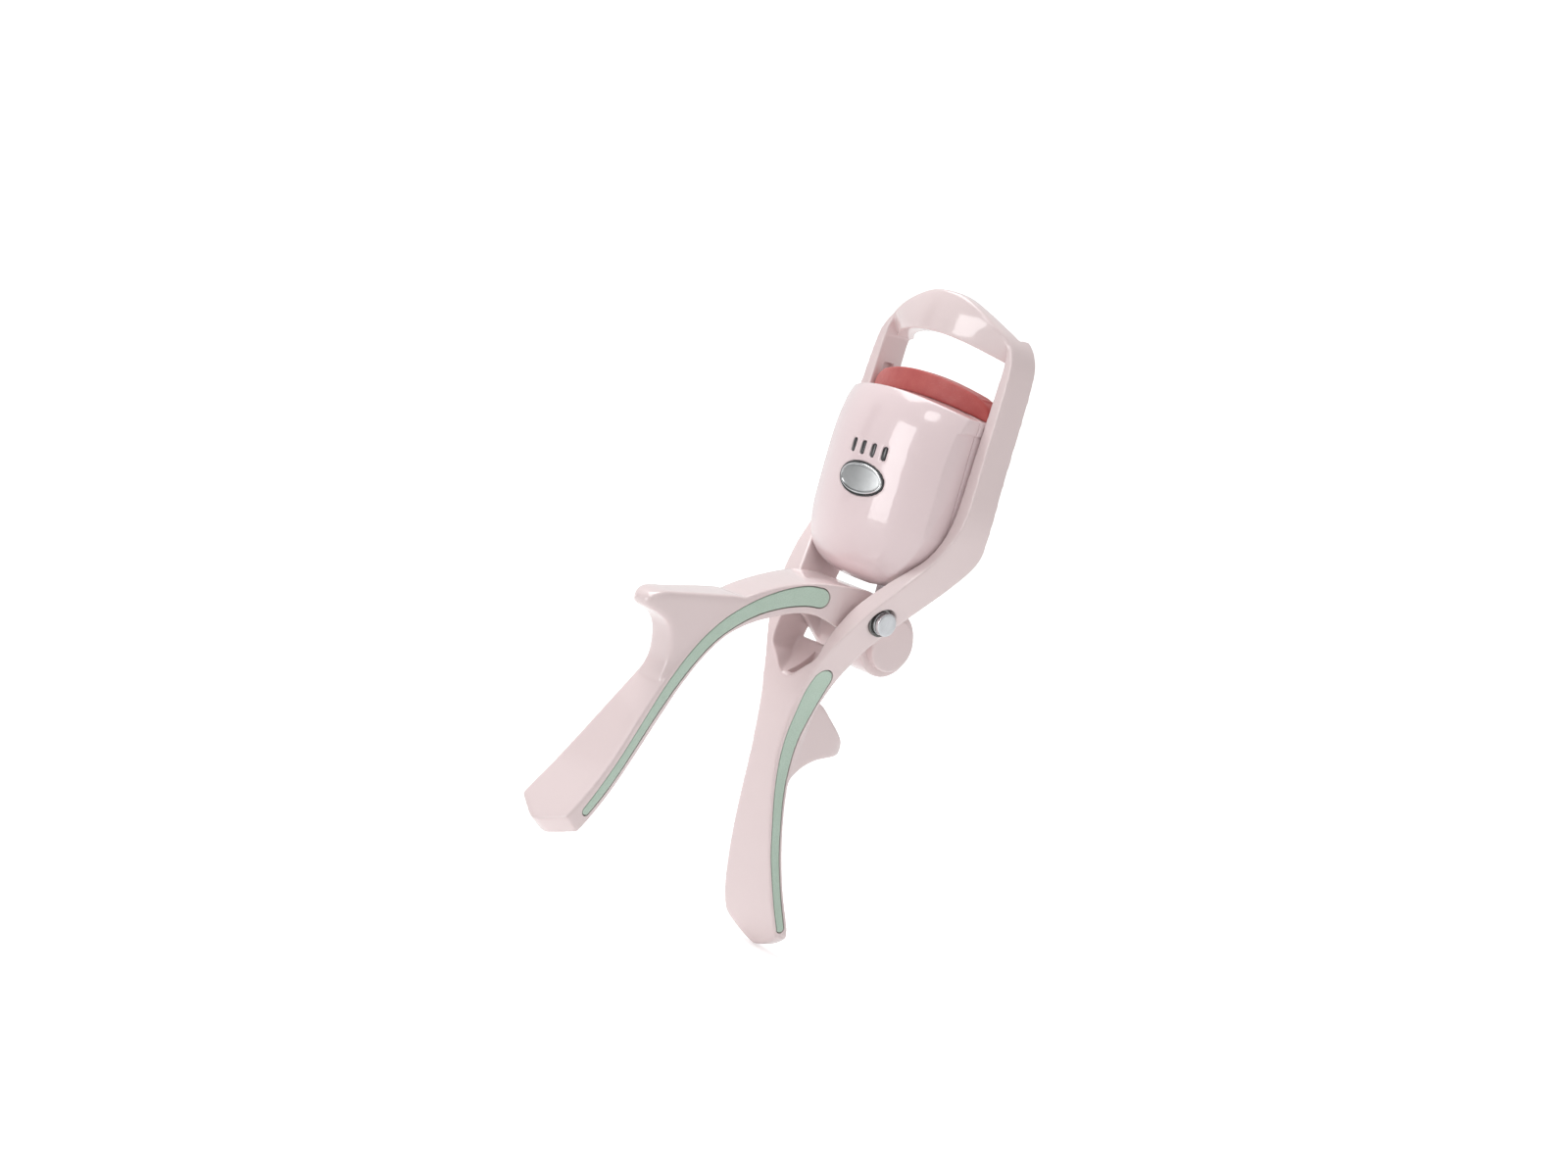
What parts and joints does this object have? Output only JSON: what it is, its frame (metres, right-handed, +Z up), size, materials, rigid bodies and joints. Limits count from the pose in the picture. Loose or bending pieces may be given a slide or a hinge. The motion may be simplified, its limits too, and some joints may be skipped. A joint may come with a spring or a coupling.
{
  "type": "eyelash curler",
  "caption": "Heated eyelash curler with a squeeze lever, a sliding heated pad and a fixed curved upper bar.",
  "frame": {"origin": "centre of the hinge pin, midway between its two heads", "axes": "+X along the hinge pin, +Y from the button side towards the back, +Z up the arms towards the upper bar"},
  "size_m": [0.0334, 0.0604, 0.1085],
  "materials": {
    "pink_shell": "gloss",
    "pink_cover": "gloss",
    "mint_grip": "satin",
    "red_pad": "matt",
    "chrome_trim": "polished",
    "dark_trim": "matt",
    "dark_lens": "gloss",
    "tail_steel": "brushed",
    "board_green": "satin",
    "cell_wrap": "gloss",
    "heater_white": "matt",
    "copper_lead": "satin"
  },
  "bodies": {
    "frame": {"frame": "pink_shell", "hinge_pin": "chrome_trim", "hinge_screw": "chrome_trim", "grip_rear_right": "mint_grip", "grip_rear_left": "mint_grip"},
    "lever": {"front_lever": "pink_shell", "knuckle_pin": "tail_steel", "knuckle_cap_right": "pink_shell", "knuckle_cap_left": "pink_shell", "grip_front_right": "mint_grip", "grip_front_left": "mint_grip"},
    "housing": {"lift_tail": "tail_steel", "housing_front": "pink_cover", "housing_back": "pink_cover", "button_rim": "dark_trim", "indicator_lenses": "dark_lens", "indicator_leds": "heater_white", "tact_switch": "dark_trim", "circuit_board": "board_green", "battery": "cell_wrap", "battery_leads": "copper_lead", "usb_socket": "tail_steel", "heat_pad": "red_pad", "heater_plate": "heater_white", "pad_carrier": "dark_trim", "thermistor": "dark_lens", "heater_leads": "copper_lead", "housing_screws": "tail_steel"},
    "button": {"power_button": "chrome_trim"}
  },
  "joints": [
    {"name": "lever_pivot", "type": "hinge", "parent": "frame", "child": "lever", "pos_m": [0, 0, 0], "axis": [1, 0, 0], "range_deg": [0, 45]},
    {"name": "housing_slide", "type": "slide", "parent": "frame", "child": "housing", "axis": [0, 0, 1], "range_m": [0, 0.0062]},
    {"name": "button_press", "type": "slide", "parent": "housing", "child": "button", "axis": [0, 1, 0], "range_m": [0, 0.0003], "stiffness_N_per_m": 400}
  ],
  "couplings": [
    {"joint": "housing_slide", "follows": "lever_pivot", "m_per_rad": 0.00776}
  ]
}
